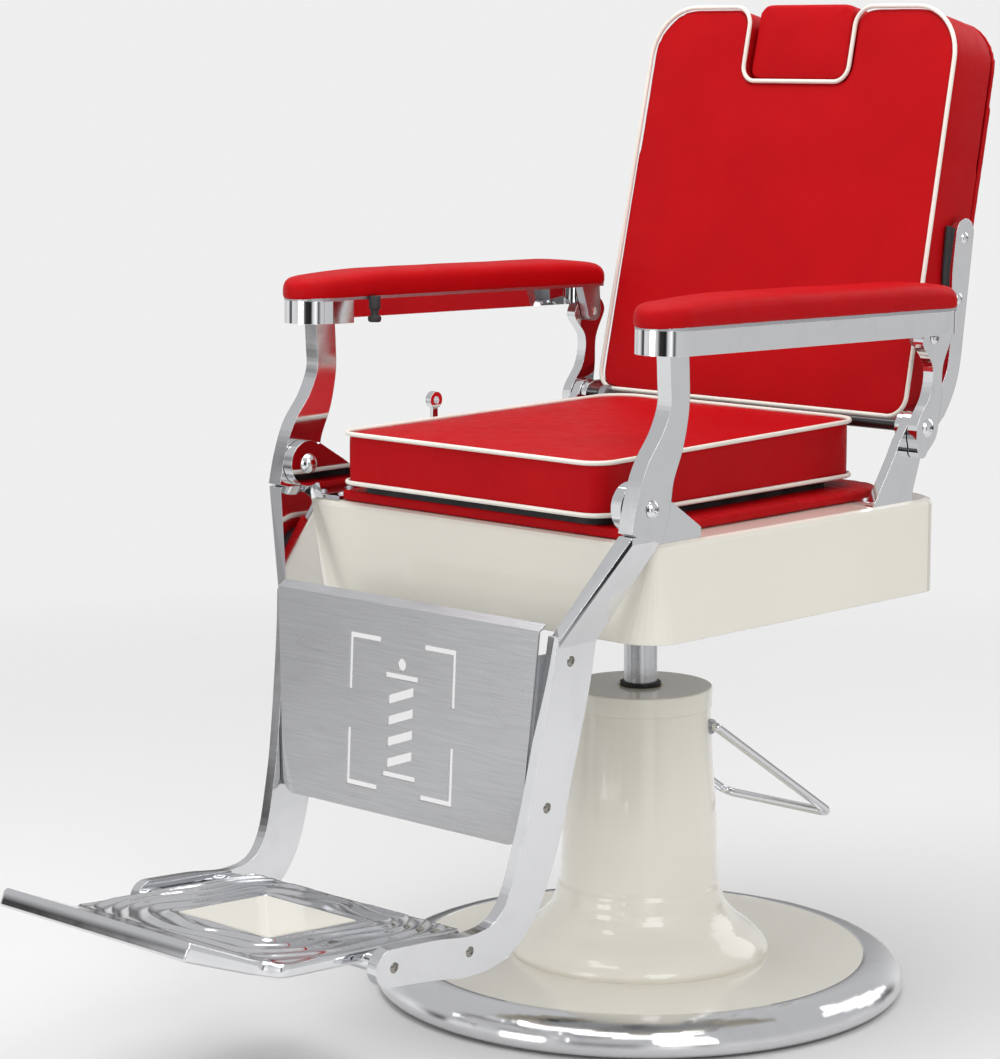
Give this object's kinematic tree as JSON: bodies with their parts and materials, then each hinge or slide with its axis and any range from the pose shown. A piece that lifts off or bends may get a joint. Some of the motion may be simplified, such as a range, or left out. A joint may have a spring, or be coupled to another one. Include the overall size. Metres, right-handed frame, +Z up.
{
  "type": "hydraulic barber chair",
  "caption": "Padded reclining chair with armrests and a linked leg rest, on a pump-lifted swivel column with a round floor base.",
  "frame": {"origin": "centre of the base's underside, on the floor under the column", "axes": "+Z up along the column, the sitter faces -Y, +X to the sitter's left"},
  "size_m": [0.6399, 1.234, 1.1807],
  "materials": {
    "black_rubber": "matte moulded rubber",
    "cream_paint": "high-gloss cream enamel",
    "chrome": "mirror-bright chrome plate",
    "polished_casting": "cast, polished and bright chrome plated",
    "satin_steel": "satin polished sheet",
    "ground_steel": "ground and polished round bar",
    "plain_steel": "zinc plated",
    "bronze": "machined sintered bronze",
    "black_paint": "satin black enamel",
    "black_board": "black covered board",
    "red_vinyl": "semi-gloss grained vinyl over foam"
  },
  "bodies": {
    "base": {"floor_pad": "black_rubber", "base_disc": "cream_paint", "trim_ring": "chrome", "column_cover": "cream_paint", "column_cap": "cream_paint", "guide_bush": "bronze", "wiper_seal": "black_rubber", "pump_cylinder": "plain_steel", "pump_block": "plain_steel", "pedal_bushes": "bronze"},
    "pump_pedal": {"pump_pedal": "chrome", "pump_cam": "plain_steel"},
    "pump_plunger": {"pump_plunger": "plain_steel"},
    "lift": {"ram": "ground_steel", "thrust_bearing": "bronze"},
    "seat": {"swivel_socket": "plain_steel", "mount_plate": "plain_steel", "seat_box": "cream_paint", "seat_board": "red_vinyl", "cushion_base": "black_board", "seat_cushion": "red_vinyl", "front_bracket_left": "chrome", "front_bracket_right": "chrome", "rear_bracket_left": "chrome", "rear_bracket_right": "chrome", "bracket_screws": "plain_steel", "front_pivot_bolts": "chrome", "recline_cylinder": "black_paint", "cylinder_clamps": "plain_steel", "lever_pin": "plain_steel"},
    "recline_lever": {"recline_lever": "chrome"},
    "recline_rod": {"recline_rod": "ground_steel"},
    "backrest": {"recline_shaft": "black_paint", "recline_crank": "plain_steel", "rear_arm_left": "chrome", "rear_arm_right": "chrome", "back_bar_left": "chrome", "back_bar_right": "chrome", "back_bar_screws": "chrome", "back_spacers": "black_rubber", "back_pad": "red_vinyl", "back_panel": "red_vinyl", "headrest_sleeve": "plain_steel"},
    "headrest": {"headrest_pad": "red_vinyl", "headrest_stem": "chrome"},
    "arm_left": {"arm_band_left": "chrome", "arm_base_left": "plain_steel", "arm_pad_left": "red_vinyl", "arm_pins_left": "chrome"},
    "arm_right": {"arm_band_right": "chrome", "arm_base_right": "plain_steel", "arm_pad_right": "red_vinyl", "arm_pins_right": "chrome"},
    "leg_frame": {"side_frame_left": "polished_casting", "side_frame_right": "polished_casting", "kick_panel": "satin_steel", "panel_tray": "plain_steel", "footrest": "polished_casting", "footrest_inset": "cream_paint", "leg_screws": "plain_steel"}
  },
  "joints": [
    {"name": "seat_lift", "type": "slide", "parent": "base", "child": "lift", "axis": [0, 0, 1], "range_m": [-0.08, 0.08]},
    {"name": "seat_swivel", "type": "hinge", "parent": "lift", "child": "seat", "pos_m": [0, 0, 0.56], "axis": [0, 0, 1], "continuous": true},
    {"name": "recline", "type": "hinge", "parent": "seat", "child": "backrest", "pos_m": [0, 0.186, 0.686], "axis": [-1, 0, 0], "range_deg": [0, 45]},
    {"name": "leg_lift", "type": "hinge", "parent": "seat", "child": "leg_frame", "pos_m": [0, -0.308, 0.643], "axis": [-1, 0, 0], "range_deg": [0, 28]},
    {"name": "arm_left_tilt", "type": "hinge", "parent": "backrest", "child": "arm_left", "pos_m": [0.275, 0.195, 0.791], "axis": [-1, 0, 0], "range_deg": [-46, 0]},
    {"name": "arm_right_tilt", "type": "hinge", "parent": "backrest", "child": "arm_right", "pos_m": [-0.275, 0.195, 0.791], "axis": [-1, 0, 0], "range_deg": [-46, 0]},
    {"name": "headrest_slide", "type": "slide", "parent": "backrest", "child": "headrest", "axis": [0, 0.2181, 0.9759], "range_m": [0, 0.08]},
    {"name": "recline_rod_slide", "type": "slide", "parent": "seat", "child": "recline_rod", "axis": [0, -1, 0], "range_m": [0, 0.0948]},
    {"name": "recline_lever_pull", "type": "hinge", "parent": "seat", "child": "recline_lever", "pos_m": [-0.245, -0.105, 0.572], "axis": [-1, 0, 0], "range_deg": [0, 20], "stiffness_Nm_per_rad": 0.8, "springref_deg": -20.05},
    {"name": "pump_pedal_press", "type": "hinge", "parent": "base", "child": "pump_pedal", "pos_m": [0, 0.043, 0.321], "axis": [-1, 0, 0], "range_deg": [0, 22], "stiffness_Nm_per_rad": 6, "springref_deg": -28.65},
    {"name": "pump_plunger_stroke", "type": "slide", "parent": "base", "child": "pump_plunger", "axis": [0, 0, -1], "range_m": [0, 0.0072]}
  ],
  "couplings": [
    {"joint": "leg_lift", "follows": "recline", "ratio": 0.60617},
    {"joint": "arm_left_tilt", "follows": "recline", "ratio": -1.0077},
    {"joint": "arm_right_tilt", "follows": "recline", "ratio": -1.0077},
    {"joint": "recline_rod_slide", "follows": "recline", "m_per_rad": 0.1205},
    {"joint": "pump_plunger_stroke", "follows": "pump_pedal_press", "m_per_rad": 0.0185}
  ]
}
